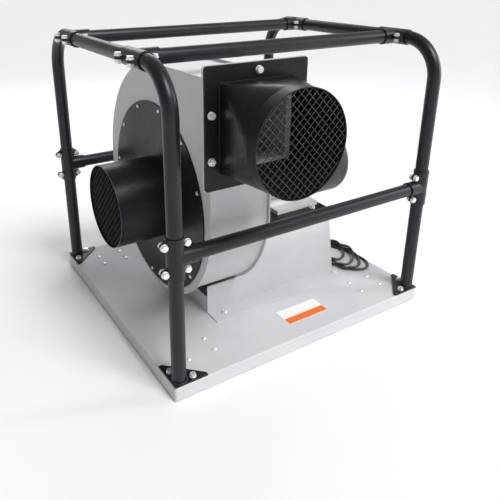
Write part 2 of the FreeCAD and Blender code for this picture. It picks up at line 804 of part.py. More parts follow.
def impeller_shroud():
    return revolved([(BLADE_X0, EYE_R), (BLADE_X0, IMPELLER_R), (BLADE_X0 - 2, IMPELLER_R),
                     (BLADE_X0 - 2, EYE_R + 4), (BLADE_X0 - 5, EYE_R)])


def impeller_blades():
    blades = []
    lean = -48.0          # a blade's tip trails its root by this angle
    for k in range(BLADE_COUNT):
        turn = 360 / BLADE_COUNT * k

        def at(radius, degrees):
            return on_shaft(BLADE_X0, radius, degrees + turn)

        mid_r, mid_lean = (BLADE_R0 + BLADE_R1) / 2 + 6, lean * 0.42
        thick = 1.0       # degrees between the blade's two faces
        root, middle, tip = [(at(r, a), at(r, a + thick)) for r, a in
                             ((BLADE_R0, 0), (mid_r, mid_lean), (BLADE_R1, lean))]
        edges = [
            Part.Arc(root[0], middle[0], tip[0]).toShape(),
            Part.LineSegment(tip[0], tip[1]).toShape(),
            Part.Arc(tip[1], middle[1], root[1]).toShape(),
            Part.LineSegment(root[1], root[0]).toShape(),
        ]
        blades.append(Part.Face(Part.Wire(edges)).extrude(V(BLADE_X1 - BLADE_X0, 0, 0)))
    return group(blades)


def impeller_hub():
    return revolved([(BLADE_X1 - 24, SHAFT_R), (BLADE_X1 - 24, 24), (BLADE_X1, 28), (BLADE_X1 + 3, 28),
                     (BLADE_X1 + 3, 38), (BLADE_X1 + 8, 38), (BLADE_X1 + 14, 26), (BLADE_X1 + 22, 26),
                     (BLADE_X1 + 22, SHAFT_R)])


def impeller_bolt():
    hub_face = BLADE_X1 - 24
    washer = shaft_disc(hub_face - 3, hub_face, 20)
    head = hexagon((hub_face - 3, AXIS_Y, AXIS_Z), "x", 17, -8)
    return washer.fuse(head)


# ------------------------------------------------------------------ motor
def motor_shaft():
    """Stepped shaft: impeller end, two bearing seats with the rotor between them, fan end."""
    start, core_start = SHAFT_X0 + 2, DRIVE_BEARING_X + BEARING_W + 2
    seats = (DRIVE_BEARING_X - 7, REAR_BEARING_X - 3, REAR_BEARING_X + BEARING_W + 4)
    steps = [
        (start, SHAFT_R), (seats[0], SHAFT_R), (seats[0], BEARING_SEAT_R), (core_start, BEARING_SEAT_R),
        (core_start, CORE_SHAFT_R), (seats[1], CORE_SHAFT_R), (seats[1], BEARING_SEAT_R),
        (seats[2], BEARING_SEAT_R), (seats[2], FAN_SHAFT_R), (SHAFT_X1, FAN_SHAFT_R),
    ]
    return revolved([(start, 0)] + steps + [(SHAFT_X1, 0)])


def rotor_core():
    return shaft_ring(STACK_X0, STACK_X1, ROTOR_R, CORE_SHAFT_R)


def stator_core():
    ring = shaft_ring(STACK_X0, STACK_X1, BODY_R - BODY_WALL, ROTOR_R + AIR_GAP)
    slots = []
    for k in range(24):
        slot = box(STACK_X0 - 1, AXIS_Y + 49, AXIS_Z - 2, STACK_X1 + 1, AXIS_Y + 61, AXIS_Z + 2)
        slot.rotate(V(0, AXIS_Y, AXIS_Z), AXES["x"], 15 * k)
        slots.append(slot)
    return ring.cut(slots)


def stator_windings():
    rings = []
    for x0, x1 in ((STACK_X0 - 26, STACK_X0), (STACK_X1, STACK_X1 + 26)):
        ring = shaft_ring(x0, x1, 65, 49)
        edges = [e for e in ring.Edges if e.Closed]
        rings.append(ring.makeFillet(6, edges))
    return group(rings)


def motor_body():
    shell = shaft_disc(BODY_X0, BODY_X1, BODY_R)
    fins = []
    for k in range(FIN_COUNT):
        fin = box(BODY_X0 + 6, AXIS_Y + BODY_R - 3, AXIS_Z - 1.4, BODY_X1 - 6, AXIS_Y + FIN_R, AXIS_Z + 1.4)
        fin.rotate(V(0, AXIS_Y, AXIS_Z), AXES["x"], (k + 0.5) * 360 / FIN_COUNT)
        fins.append(fin)
    shell = shell.fuse(fins)
    bore = shaft_disc(BODY_X0 - 1, BODY_X1 + 1, BODY_R - BODY_WALL)
    box_seat = box(BOX_X0, BOX_Y0, BOX_Z0, BOX_X1, BOX_Y1, BOX_Z1)
    return shell.cut([bore, box_seat, motor_feet_block()])


def end_shield(x0, x1, seat_x0, outward):
    """Cast end cover with a bearing seat and a raised boss on its outer side."""
    boss_r, boss_t = SHIELD_BOSS
    disc = shaft_disc(x0, x1, BODY_R + 4)
    boss_x0 = x0 - boss_t if outward < 0 else x1
    disc = disc.fuse(shaft_disc(boss_x0, boss_x0 + boss_t, boss_r))
    seat = shaft_disc(seat_x0, seat_x0 + BEARING_W, BEARING_R)
    through = shaft_disc(x0 - 10, x1 + 10, BEARING_SEAT_R + 3.5)
    return disc.cut([seat, through])


def drive_end_shield():
    return end_shield(DRIVE_SHIELD_X0, BODY_X0, DRIVE_BEARING_X, -1)


def rear_end_shield():
    """The rear cover has no boss, because the cooling fan turns close behind it."""
    shield = end_shield(BODY_X1, REAR_SHIELD_X1, REAR_BEARING_X, 1)
    return shield.cut(shaft_disc(REAR_SHIELD_X1, REAR_SHIELD_X1 + 16, BODY_R))


def motor_bearings():
    bore = BEARING_SEAT_R + BEARING_FIT
    return group([shaft_ring(x, x + BEARING_W, BEARING_R, bore) for x in (DRIVE_BEARING_X, REAR_BEARING_X)])


def cooling_fan():
    hub = shaft_ring(FAN_X0, FAN_X0 + 26, FAN_HUB_R, FAN_SHAFT_R)
    web = shaft_ring(FAN_X0, FAN_X0 + 3, FAN_BLADE_R - 6, FAN_SHAFT_R)
    blades = []
    for k in range(FAN_BLADES):
        y0, y1 = AXIS_Y + FAN_HUB_R - 2, AXIS_Y + FAN_BLADE_R
        blade = box(FAN_X0, y0, AXIS_Z - 1.2, FAN_X0 + 24, y1, AXIS_Z + 1.2)
        blade.rotate(V(0, AXIS_Y, AXIS_Z), AXES["x"], 360 / FAN_BLADES * k)
        blades.append(blade)
    return hub.fuse([web] + blades)


def fan_cowl():
    """Pressed cover over the cooling fan, with a grille of round holes in its end."""
    outer = shaft_disc(COWL_X0, COWL_X1, COWL_R)
    rim = [e for e in outer.Edges if e.Closed and e.BoundBox.XMin > COWL_X1 - 1]
    outer = outer.makeFillet(22, rim)
    inner = shaft_disc(COWL_X0 - 1, COWL_X1 - COWL_SHEET, COWL_R - COWL_SHEET)
    rim = [e for e in inner.Edges if e.Closed and e.BoundBox.XMin > COWL_X1 - 3]
    inner = inner.makeFillet(20.5, rim)
    holes = []
    for ring, count in ((16, 8), (28, 14), (40, 20), (52, 26), (64, 32)):
        for k in range(count):
            p = on_shaft(COWL_X1 - 10, ring, 360 / count * k)
            holes.append(rod(tuple(p), "x", 20, 3.6))
    return outer.cut([inner] + holes)


def motor_feet_block():
    """The two foot rails with the webs that carry the motor, before the body is taken away."""
    low = PED_TOP + TOP_PLATE_T
    blocks = []
    for s in (-1, 1):
        outer, inner = AXIS_Y + s * FEET_HALF_SPAN, AXIS_Y + s * (FEET_HALF_SPAN - 42)
        profile = [
            (FEET_X0, outer, low), (FEET_X0, inner, low), (FEET_X0, AXIS_Y + s * 34, low + 34),
            (FEET_X0, AXIS_Y + s * 60, low + 52), (FEET_X0, AXIS_Y + s * 62, low + 20),
            (FEET_X0, AXIS_Y + s * 68, low + MOTOR_FOOT_T), (FEET_X0, outer, low + MOTOR_FOOT_T),
        ]
        blocks.append(polygon_prism(profile, V(FEET_X1 - FEET_X0, 0, 0)))
    return blocks[0].fuse(blocks[1])


def motor_feet():
    depth = MOTOR_THREAD + 1 + TOP_PLATE_T
    holes = drill([(x, y, PED_TOP) for x, y in motor_bolt_points()], "z", M8["shank"] + THREAD_FIT, depth)
    body = shaft_disc(FEET_X0 - 1, FEET_X1 + 1, BODY_R)
    return motor_feet_block().cut([body] + holes)


def motor_bolt_points():
    ends = (FEET_X0 + FOOT_BOLT_INSET, FEET_X1 - FOOT_BOLT_INSET)
    return [(x, AXIS_Y + s * FOOT_BOLT_SPREAD) for x in ends for s in (-1, 1)]


def motor_bolts():
    length = TOP_PLATE_T + MOTOR_THREAD
    return group([bolt((x, y, PED_TOP), "z", M8, length, -1) for x, y in motor_bolt_points()])


# ------------------------------------------------------------------ switch box
def gland_start():
    return (BOX_X1, GLAND_Y, GLAND_Z)


def switch_box():
    outer = box(BOX_X0, BOX_Y0, BOX_Z0, BOX_X1, BOX_Y1, BOX_Z1)
    edges = [e for e in outer.Edges if abs(e.Vertexes[0].Y - e.Vertexes[1].Y) > 1]
    outer = outer.makeFillet(5, edges)
    w = BOX_WALL
    hollow = box(BOX_X0 + w, BOX_Y0 + w, BOX_Z0 + w, BOX_X1 - w, BOX_Y1 + 1, BOX_Z1 - w)
    entry = rod((BOX_X1 - 6, GLAND_Y, GLAND_Z), "x", 12, 6)
    return outer.cut([hollow, entry])


def switch_centre():
    return V((BOX_X0 + BOX_X1) / 2, BOX_Y1 + 1.5, (BOX_Z0 + BOX_Z1) / 2)


def switch_box_lid():
    """Lid with a raised bezel, and two cheeks behind it that carry the rocker's stub pins."""
    lid = box(BOX_X0, BOX_Y1, BOX_Z0, BOX_X1, BOX_Y1 + LID_T, BOX_Z1)
    edges = [e for e in lid.Edges if abs(e.Vertexes[0].Y - e.Vertexes[1].Y) > 1]
    lid = lid.makeFillet(5, edges)
    c = switch_centre()
    bezel = box(c.x - 14, BOX_Y1, c.z - 19, c.x + 14, BOX_Y1 + LID_T + 2, c.z + 19)
    window = box(c.x - 9.7, BOX_Y1 - 10, c.z - 14.6, c.x + 9.7, BOX_Y1 + 20, c.z + 14.6)
    cheeks = [box(c.x + s * 11.2 - 1.5, BOX_Y1 - 8, c.z - 6, c.x + s * 11.2 + 1.5, BOX_Y1 + 1, c.z + 6)
              for s in (-1, 1)]
    pins = rod((c.x - 12, c.y, c.z), "x", 24, 1.55)
    return lid.fuse([bezel] + cheeks).cut([window, pins])


def switch_rocker():
    """Rocker with two sloping faces, shown with its lower half pressed."""
    c = switch_centre()
    half, deep, rise, side = 13.4, 3.2, 3.4, c.x - 9
    lift = half * math.tan(math.radians(ROCKER_TILT))
    profile = [
        (side, c.y - deep, c.z - half), (side, c.y + rise + lift, c.z - half), (side, c.y + rise, c.z),
        (side, c.y + rise + lift, c.z + half), (side, c.y - deep, c.z + half),
    ]
    paddle = polygon_prism(profile, V(2 * (c.x - side), 0, 0))
    pins = rod((c.x - 11.6, c.y, c.z), "x", 23.2, 1.5)
    rocker = paddle.fuse(pins)
    rocker.rotate(c, AXES["x"], ROCKER_TILT)
    return rocker


def cable_gland():
    """Hexagonal gland nut with a tapered rubber boot, bored for the cord."""
    x, y, z = gland_start()
    nut_body = hexagon((x, y, z), "x", 19, GLAND_BODY)
    boot = Part.makeCone(7.5, 5.2, BOOT_LENGTH, V(x + GLAND_BODY, y, z), AXES["x"])
    thread = rod((x - 4, y, z), "x", 4, 5.9)
    bore = rod((x - 6, y, z), "x", GLAND_BODY + 5, CORD_D / 2)
    return nut_body.fuse([boot, thread]).cut(bore)


# ------------------------------------------------------------------ pedestal and label
def pedestal():
    t = PED_SHEET
    low = TRAY_TOP
    solids = []
    for y0, y1 in ((PED_FRONT, PED_FRONT + t), (PED_REAR - t, PED_REAR)):
        outline = [
            (PED_LEFT, y0, low), (PED_RIGHT_FOOT, y0, low), (PED_RIGHT_TOP, y0, PED_TOP),
            (PED_WALL, y0, PED_TOP), (PED_WALL, y0, PED_NOSE_TOP), (PED_LEFT, y0, PED_NOSE_TOP),
        ]
        solids.append(polygon_prism(outline, V(0, y1 - y0, 0)))
    right = [
        (PED_RIGHT_FOOT - t, PED_FRONT, low), (PED_RIGHT_FOOT, PED_FRONT, low),
        (PED_RIGHT_TOP, PED_FRONT, PED_TOP), (PED_RIGHT_TOP - t, PED_FRONT, PED_TOP),
    ]
    solids.append(polygon_prism(right, V(0, PED_REAR - PED_FRONT, 0)))
    solids.append(box(PED_WALL, PED_FRONT, low, PED_WALL + t, PED_REAR, PED_TOP))
    solids.append(box(PED_LEFT, PED_FRONT, low, PED_LEFT + t, PED_REAR, PED_LOW_TOP - 2))
    for y0, y1 in ((PED_FRONT, PED_FRONT + PED_SHELF), (PED_REAR - PED_SHELF, PED_REAR)):
        solids.append(box(PED_WALL, y0, PED_TOP - t, PED_RIGHT_TOP - t / 2, y1, PED_TOP))
    for y0, y1 in ((PED_FRONT - PED_FLANGE, PED_FRONT), (PED_REAR, PED_REAR + PED_FLANGE)):
        solids.append(box(PED_LEFT, y0, low, PED_RIGHT_FOOT + 8, y1, low + t))
    body = solids[0].fuse(solids[1:])
    holes = drill([(x, y, low - 1) for x, y in pedestal_bolt_points()], "z", M6["shank"] + HOLE_FIT, 6)
    holes += drill(side_bolt_points(PED_WALL - 2), "x", M8["shank"] + HOLE_FIT, 8)
    shelf_holes = [(x, y, PED_TOP - 6) for x, y in top_plate_bolt_points()]
    holes += drill(shelf_holes, "z", M8["shank"] + HOLE_FIT, 10)
    return body.cut(holes)


def top_plate_bolt_points():
    inset = PED_SHELF * 0.57
    return [(x, y) for x in SHELF_BOLT_X for y in (PED_FRONT + inset, PED_REAR - inset)]


def pedestal_top_plate():
    plate = box(PED_WALL + 3.5, PED_FRONT - 4, PED_TOP, TOP_PLATE_X1, PED_REAR + 4, PED_TOP + TOP_PLATE_T)
    holes = [(x, y, PED_TOP - 1) for x, y in top_plate_bolt_points() + motor_bolt_points()]
    return plate.cut(drill(holes, "z", M8["shank"] + HOLE_FIT, 10))


def pedestal_bolts():
    solids = []
    flange_top = TRAY_TOP + PED_SHEET
    for x, y in pedestal_bolt_points():
        solids.append(bolt((x, y, flange_top), "z", M6, PED_SHEET + TRAY_SHEET + M6["nut"] + 2))
        solids.append(nut((x, y, TRAY_TOP - TRAY_SHEET), "z", M6, -1))
    for x, y in top_plate_bolt_points():
        solids.append(bolt((x, y, PED_TOP + TOP_PLATE_T), "z", M8, TOP_PLATE_T + PED_SHEET + M8["nut"] + 2))
        solids.append(nut((x, y, PED_TOP - PED_SHEET), "z", M8, -1))
    for x, y, z in side_bolt_points(SCROLL_X1 - SIDE_SHEET):
        solids.append(bolt((x, y, z), "x", M8, 20, -1))
        solids.append(nut((PED_WALL + PED_SHEET, y, z), "x", M8, 1))
    for x, y, z in side_bolt_points(SCROLL_X1):
        solids.append(tube((x, y, z), "x", PED_WALL - SCROLL_X1, M8["washer"], M8["shank"]))
    return group(solids)


def label_plate():
    x, y, width, depth, thick = LABEL
    plate = box(x, y, TRAY_TOP, x + width, y + depth, TRAY_TOP + thick)
    edges = [e for e in plate.Edges if abs(e.Vertexes[0].Z - e.Vertexes[1].Z) > thick / 2]
    return plate.makeFillet(3, edges)


# ------------------------------------------------------------------ cord
def rounded_route(route, name):
    """Straight runs joined by tangent arcs that are as large as the shorter run allows."""
    points = [V(*p) for p in route]
    edges, radii = [], []
    here = points[0]
    for before, corner, after in zip(points, points[1:], points[2:]):
        into = (corner - before).normalize()
        away = (after - corner).normalize()
        turn = math.acos(max(-1.0, min(1.0, into.dot(away))))
        back = 0.45 * min(corner.distanceToPoint(before), corner.distanceToPoint(after))
        radius = back / math.tan(turn / 2)
        start, end = corner - into * back, corner + away * back
        inward = (away - into).normalize()
        centre = corner + inward * (radius / math.cos(turn / 2))
        middle = centre - inward * radius
        edges.append(Part.LineSegment(here, start).toShape())
        edges.append(Part.Arc(start, middle, end).toShape())
        radii.append(radius)
        here = end
    edges.append(Part.LineSegment(here, points[-1]).toShape())
    wire = Part.Wire(edges)
    print(f"{name}: length {wire.Length:.0f}, radii {[round(r) for r in radii]}")
    return wire


def cord_tube(route, name):
    path = rounded_route(route, name)
    direction = V(*route[1]) - V(*route[0])
    solid = swept(path, route[0], tuple(direction), CORD_D / 2)
    expected = math.pi * (CORD_D / 2) ** 2 * path.Length
    print(f"{name}: volume is {solid.Volume / expected:.4f} of its section times its length")
    return solid


def cord_lead():
    return cord_tube(LEAD_ROUTE, "cord_lead")


def cord_tail():
    return cord_tube(TAIL_ROUTE, "cord_tail")


def cord_coil():
    """Outer shape of the loose coil: a flat pad with a rounded outline."""
    corners = [(x, y, TRAY_TOP + 0.3) for x, y in COIL_OUTLINE]
    pad = polygon_prism(corners, V(0, 0, COIL_HEIGHT))
    uprights = [e for e in pad.Edges if abs(e.Vertexes[0].Z - e.Vertexes[1].Z) > 1]
    return pad.makeFillet(12, uprights)


def cable_tie():
    """Strap round the coil's bundle, near the pedestal."""
    x, y, z = TIE_CENTRE
    strap = tube(TIE_CENTRE, "y", TIE_W, TIE_R, TIE_R - 1.4)
    top = z + TIE_R
    buckle = box(x - 4, y - 0.5, top - 2.5, x + 4, y + TIE_W + 0.5, top + 3)
    return strap.fuse(buckle)


def mains_plug():
    """Round two-pin plug that lies on the tray, pins to the left."""
    x, y, z = TAIL_ROUTE[-1]
    boot = Part.makeCone(5, 8, 22, V(x, y, z), V(-1, 0, 0))
    body = Part.makeCone(12, PLUG_R, 12, V(x - 22, y, z), V(-1, 0, 0))
    face = Part.makeCylinder(PLUG_R, 24, V(x - 34, y, z), V(-1, 0, 0))
    pins = [Part.makeCylinder(2.4, 19, V(x - 58, y + s * 9.5, z), V(-1, 0, 0)) for s in (-1, 1)]
    return boot.fuse([body, face] + pins)


# ------------------------------------------------------------------ all parts
PARTS = {
    "base_tray": base_tray,
    "rubber_feet": rubber_feet,
    "foot_screws": foot_screws,
    "left_hoop": lambda: hoop(POST_INSET),
    "right_hoop": lambda: hoop(TRAY_W - POST_INSET),
    "foot_plates": foot_plates,
    "foot_bolts": foot_bolts,
    "front_top_bar": front_top_bar,
    "rear_top_bar": rear_top_bar,
    "front_mid_bar": front_mid_bar,
    "rear_mid_bar": rear_mid_bar,
    "top_clamp_upper_halves": lambda: clamp_halves("top", True),
    "top_clamp_lower_halves": lambda: clamp_halves("top", False),
    "mid_clamp_outer_halves": lambda: clamp_halves("mid", True),
    "mid_clamp_inner_halves": lambda: clamp_halves("mid", False),
    "clamp_bolts": clamp_bolts,
    "scroll_left_plate": scroll_left_plate,
    "scroll_right_plate": scroll_right_plate,
    "scroll_wrapper": scroll_wrapper,
    "outlet_duct_flange": outlet_duct_flange,
    "inlet_plate": inlet_plate,
    "inlet_spigot": inlet_spigot,
    "inlet_cone": inlet_cone,
    "inlet_guard": inlet_guard,
    "inlet_plate_screws": inlet_plate_screws,
    "outlet_flange_plate": outlet_flange_plate,
    "outlet_transition": outlet_transition,
    "outlet_collar": outlet_collar,
    "outlet_guard": outlet_guard,
    "outlet_bolts": outlet_bolts,
    "impeller_back_plate": impeller_back_plate,
    "impeller_blades": impeller_blades,
    "impeller_shroud": impeller_shroud,
    "impeller_hub": impeller_hub,
    "impeller_bolt": impeller_bolt,
    "motor_shaft": motor_shaft,
    "rotor_core": rotor_core,
    "cooling_fan": cooling_fan,
    "stator_core": stator_core,
    "stator_windings": stator_windings,
    "motor_body": motor_body,
    "drive_end_shield": drive_end_shield,
    "rear_end_shield": rear_end_shield,
    "motor_bearings": motor_bearings,
    "fan_cowl": fan_cowl,
    "motor_feet": motor_feet,
    "motor_bolts": motor_bolts,
    "switch_box": switch_box,
    "switch_box_lid": switch_box_lid,
    "switch_rocker": switch_rocker,
    "cable_gland": cable_gland,
    "pedestal": pedestal,
    "pedestal_top_plate": pedestal_top_plate,
    "pedestal_bolts": pedestal_bolts,
    "label_plate": label_plate,
    "cord_lead": cord_lead,
    "cord_coil": cord_coil,
    "cord_tail": cord_tail,
    "cable_tie": cable_tie,
    "mains_plug": mains_plug,
}


def main():
    os.makedirs("parts", exist_ok=True)
    for name, make in PARTS.items():
        shape = make()
        shape.translate(ROW_ORIGIN * -1)
        if not shape.isValid():
            print(f"{name}: the shape is not valid")
        shape.exportStep(os.path.join("parts", name + ".step"))
    print(f"{len(PARTS)} parts written")


main()
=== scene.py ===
import json
import math

import bmesh
import bpy
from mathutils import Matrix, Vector


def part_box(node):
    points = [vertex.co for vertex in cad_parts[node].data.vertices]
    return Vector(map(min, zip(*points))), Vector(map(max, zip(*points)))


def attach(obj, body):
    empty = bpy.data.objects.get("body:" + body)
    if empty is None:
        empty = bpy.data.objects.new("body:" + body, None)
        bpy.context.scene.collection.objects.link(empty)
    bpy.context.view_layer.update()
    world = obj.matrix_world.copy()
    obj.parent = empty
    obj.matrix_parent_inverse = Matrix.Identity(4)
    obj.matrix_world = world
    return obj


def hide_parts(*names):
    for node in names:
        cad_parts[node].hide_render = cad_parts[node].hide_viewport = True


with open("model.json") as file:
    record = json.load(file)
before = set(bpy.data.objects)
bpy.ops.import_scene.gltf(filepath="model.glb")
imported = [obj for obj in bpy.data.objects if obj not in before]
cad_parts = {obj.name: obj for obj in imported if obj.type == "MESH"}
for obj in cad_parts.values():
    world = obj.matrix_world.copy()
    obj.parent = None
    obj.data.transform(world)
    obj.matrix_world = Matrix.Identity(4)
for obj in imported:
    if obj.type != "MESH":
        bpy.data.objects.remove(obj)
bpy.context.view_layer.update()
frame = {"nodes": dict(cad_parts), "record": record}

ROW_ORIGIN = Vector((0.375, 0.289, 0.0))
RANGE_KEYS = ("From Min", "From Max", "To Min", "To Max")
AXIS = {"x": Vector((1, 0, 0)), "z": Vector((0, 0, 1))}

# ---- camera ----
CAMERA_PLACE = (-0.7920, -1.1309, 0.8626)
CAMERA_HEADING = -32.08
CAMERA_PITCH = 20.89
CAMERA_LENS = 40.19
CAMERA_SHIFT = (0.06, -0.14)

# ---- lights and floor ----
KEY_FROM = (0.14, -0.60, 0.79)        # direction from the object to the light
KEY_STRENGTH = 0.84
KEY_SOFTNESS = 28
SIDE_STRIP_PLACE = (2.5, -1.3, 1.2)
SIDE_STRIP_AIM = (0, 0, 0.45)
SIDE_STRIP_SIZE = (0.4, 2.0)
SIDE_STRIP_WATTS = 24
REAR_STRIP_PLACE = (0.9, 2.6, 1.9)
REAR_STRIP_AIM = (0, 0, 0.4)
REAR_STRIP_SIZE = (2.0, 1.2)
REAR_STRIP_WATTS = 18
FLOOR_HALF = 20

# ---- cord, the same places as in part.py ----
CORD_D = 0.007
CORD_EXIT = (0.572, 0.428, 0.332)
LIE_Z = 0.0398
LEAD_ROUTE = [
    CORD_EXIT,
    (0.610, 0.428, 0.332),
    (0.641, 0.437, 0.300),
    (0.655, 0.444, 0.258),
    (0.662, 0.447, 0.205),
    (0.668, 0.446, 0.150),
    (0.674, 0.437, 0.098),
    (0.681, 0.416, 0.060),
    (0.690, 0.382, 0.040),
    (0.697, 0.346, LIE_Z),
]
TAIL_ROUTE = [
    (0.655, 0.342, LIE_Z),
    (0.651, 0.372, LIE_Z),
    (0.652, 0.408, LIE_Z),
    (0.656, 0.450, LIE_Z),
    (0.648, 0.497, LIE_Z),
    (0.617, 0.533, 0.0438),
    (0.582, 0.542, 0.0543),
    (0.546, 0.542, 0.0543),
]

# ---- coil: the loops pass the tie close together and fan out to the front ----
TIE_X = 0.648
TIE_Y = 0.262
STRAND_STEP = 0.0073
STRAND_PLACES = (1, 0, -1, -0.5)      # steps from the tie's middle; the last strand lies on two others
LOOP_FRONTS = (0.147, 0.163, 0.190, 0.226)
LOOP_RIGHTS = (0.740, 0.736, 0.738, 0.731)
LOOP_REARS = (0.334, 0.329, 0.324)
FIRST_LOOP = (0.047, 0.050)           # width and height of the first loop's left quarter
OTHER_LOOPS = (0.025, 0.027)          # and of the others'
FIRST_RIGHT_HEIGHT = 0.050            # height of the first loop's front right quarter
OTHER_RIGHT_HEIGHT = 0.068            # and of the others'
INTO_COIL = [(0.706, 0.316), (0.722, 0.289), (0.733, 0.262), (0.739, 0.236)]
OUT_OF_COIL = [(0.6415, 0.280), (0.6405, 0.297), (0.644, 0.313), (0.650, 0.328)]
QUARTER_STEPS = 10
STRAIGHT_STEP = 0.009

# ---- how the coil's strands lie on each other ----
STRAND_CLEAR = 1.05                   # least distance of crossing centre lines, in cord thicknesses
STRAND_SLOPE = 0.40                   # steepest rise over the way seen from above
SKIPPED_POINTS = 5                    # points just behind on the same strand, which can't cross it
SMOOTHING_ROUNDS = 2

# ---- cable tie: its inside and outside are counted from the strands' skin ----
STRAP_INSIDE = 0.0003
STRAP_OUTSIDE = 0.0015
STRAP_HALF_WIDTH = 0.0024

# ---- weld beads: radius of each bead ----
POST_BEAD = 0.0024
SPIGOT_BEAD = 0.0016
ADAPTER_BEAD = 0.0018


def row(x, y, z):
    """Point in the row frame from a place counted from the tray's corner."""
    return Vector((x, y, z)) - ROW_ORIGIN


# ------------------------------------------------------------------ shader helpers
class Finish:
    """A node material around one Principled shader, with short calls for its usual parts."""

    def __init__(self, name, roughness, metallic=0.0, **inputs):
        self.material = bpy.data.materials.new(name)
        self.material.use_nodes = True
        self.tree = self.material.node_tree
        self.shader = self.tree.nodes["Principled BSDF"]
        self.shader.inputs["Roughness"].default_value = roughness
        self.shader.inputs["Metallic"].default_value = metallic
        for key, value in inputs.items():
            self.shader.inputs[key.replace("_", " ")].default_value = value
        self.place = self.node("ShaderNodeTexCoord").outputs["Object"]
        self.normal = None

    def node(self, kind, **settings):
        made = self.tree.nodes.new(kind)
        for key, value in settings.items():
            setattr(made, key, value)
        return made

    def link(self, source, target):
        self.tree.links.new(source, target)

    def stretched(self, scale):
        """The place, scaled by three numbers, for streaks and brushing."""
        mapping = self.node("ShaderNodeMapping")
        mapping.inputs["Scale"].default_value = scale
        self.link(self.place, mapping.inputs["Vector"])
        return mapping.outputs["Vector"]

    def noise(self, scale, detail=2.0, roughness=0.5, place=None, distortion=0.0):
        made = self.node("ShaderNodeTexNoise")
        made.inputs["Scale"].default_value = scale
        made.inputs["Detail"].default_value = detail
        made.inputs["Roughness"].default_value = roughness
        made.inputs["Distortion"].default_value = distortion
        self.link(place or self.place, made.inputs["Vector"])
        return made.outputs["Fac"]

    def between(self, value, low, high, out_low=0.0, out_high=1.0):
        made = self.node("ShaderNodeMapRange")
        for key, number in zip(RANGE_KEYS, (low, high, out_low, out_high)):
            made.inputs[key].default_value = number
        self.link(value, made.inputs["Value"])
        return made.outputs["Result"]

    def mix(self, factor, first, second):
        """Blends two colours; each is a tuple or a socket."""
        made = self.node("ShaderNodeMix", data_type="RGBA")
        self.link(factor, made.inputs["Factor"])
        for key, colour in (("A", first), ("B", second)):
            socket = [s for s in made.inputs if s.name == key and s.type == "RGBA"][0]
            if isinstance(colour, tuple):
                socket.default_value = (*colour, 1)
            else:
                self.link(colour, socket)
        return [s for s in made.outputs if s.type == "RGBA"][0]

    def bump(self, height, depth, strength=1.0):
        made = self.node("ShaderNodeBump")
        made.inputs["Strength"].default_value = strength
        made.inputs["Distance"].default_value = depth
        self.link(height, made.inputs["Height"])
        if self.normal is not None:
            self.link(self.normal, made.inputs["Normal"])
        self.normal = made.outputs["Normal"]

    def edges(self, radius, low=0.02, high=0.25):
        """1 at convex and concave edges, fading out within the radius."""
        bevel = self.node("ShaderNodeBevel", samples=4)
        bevel.inputs["Radius"].default_value = radius
        facing = self.node("ShaderNodeVectorMath", operation="DOT_PRODUCT")
        self.link(bevel.outputs["Normal"], facing.inputs[0])
        self.link(self.node("ShaderNodeNewGeometry").outputs["Normal"], facing.inputs[1])
        return self.between(facing.outputs["Value"], 1 - low, 1 - high)

    def times(self, first, second):
        made = self.node("ShaderNodeMath", operation="MULTIPLY")
        self.link(first, made.inputs[0])
        self.link(second, made.inputs[1])
        return made.outputs["Value"]

    def done(self, colour=None, roughness=None):
        if colour is not None:
            self.link(colour, self.shader.inputs["Base Color"])
        if roughness is not None:
            self.link(roughness, self.shader.inputs["Roughness"])
        if self.normal is not None:
            self.link(self.normal, self.shader.inputs["Normal"])
        return self.material


# ------------------------------------------------------------------ finishes
def powder_coat(name, colour, shade, worn, roughness, grain=0.00005, gloss=0.5):
    """Powder coat: orange-peel skin, cloudy gloss, faint handling marks and lightly rubbed edges."""
    f = Finish(name, roughness, Specular_IOR_Level=gloss, Specular_Tint=(0.86, 0.92, 1.0, 1))
    cloud = f.noise(7, 4, 0.6)
    base = f.mix(f.between(cloud, 0.35, 0.65), colour, shade)
    rub = f.times(f.edges(0.0012), f.between(f.noise(60, 4, 0.7), 0.42, 0.7))
    base = f.mix(rub, base, worn)
    marks = f.noise(38, 6, 0.75, f.stretched((1, 3.5, 1)), 0.6)
    f.bump(f.noise(850, 2, 0.5), grain)
    f.bump(f.noise(230, 1, 0.4), grain * 2, 0.6)
    return f.done(base, f.between(marks, 0.3, 0.75, roughness - 0.06, roughness + 0.10))


def zinc_plate():
    f = Finish("zinc_plate", 0.30, 0.62)
    base = f.mix(f.between(f.noise(90, 4, 0.6), 0.35, 0.65), (0.92, 0.93, 0.95), (0.80, 0.82, 0.81))
    base = f.mix(f.between(f.noise(260, 5, 0.7), 0.62, 0.76), base, (0.52, 0.51, 0.48))
    f.bump(f.noise(1500, 2), 0.00003)
    return f.done(base, f.between(f.noise(300, 3), 0.3, 0.7, 0.20, 0.40))


def guard_wire():
    f = Finish("guard_wire", 0.40, 0.6)
    base = f.mix(f.between(f.noise(160, 3), 0.35, 0.65), (0.085, 0.087, 0.090), (0.050, 0.050, 0.053))
    f.bump(f.noise(2600, 2), 0.00003)
    return f.done(base, f.between(f.noise(500, 2), 0.3, 0.7, 0.28, 0.45))


def galvanised():
    f = Finish("galvanised_sheet", 0.38, 0.9)
    cells = f.node("ShaderNodeTexVoronoi")
    cells.inputs["Scale"].default_value = 95
    f.link(f.place, cells.inputs["Vector"])
    base = f.mix(f.between(cells.outputs["Distance"], 0.1, 0.7), (0.56, 0.58, 0.60), (0.40, 0.42, 0.44))
    f.bump(f.noise(900, 3), 0.00004)
    return f.done(base, f.between(f.noise(120, 3), 0.3, 0.7, 0.30, 0.50))


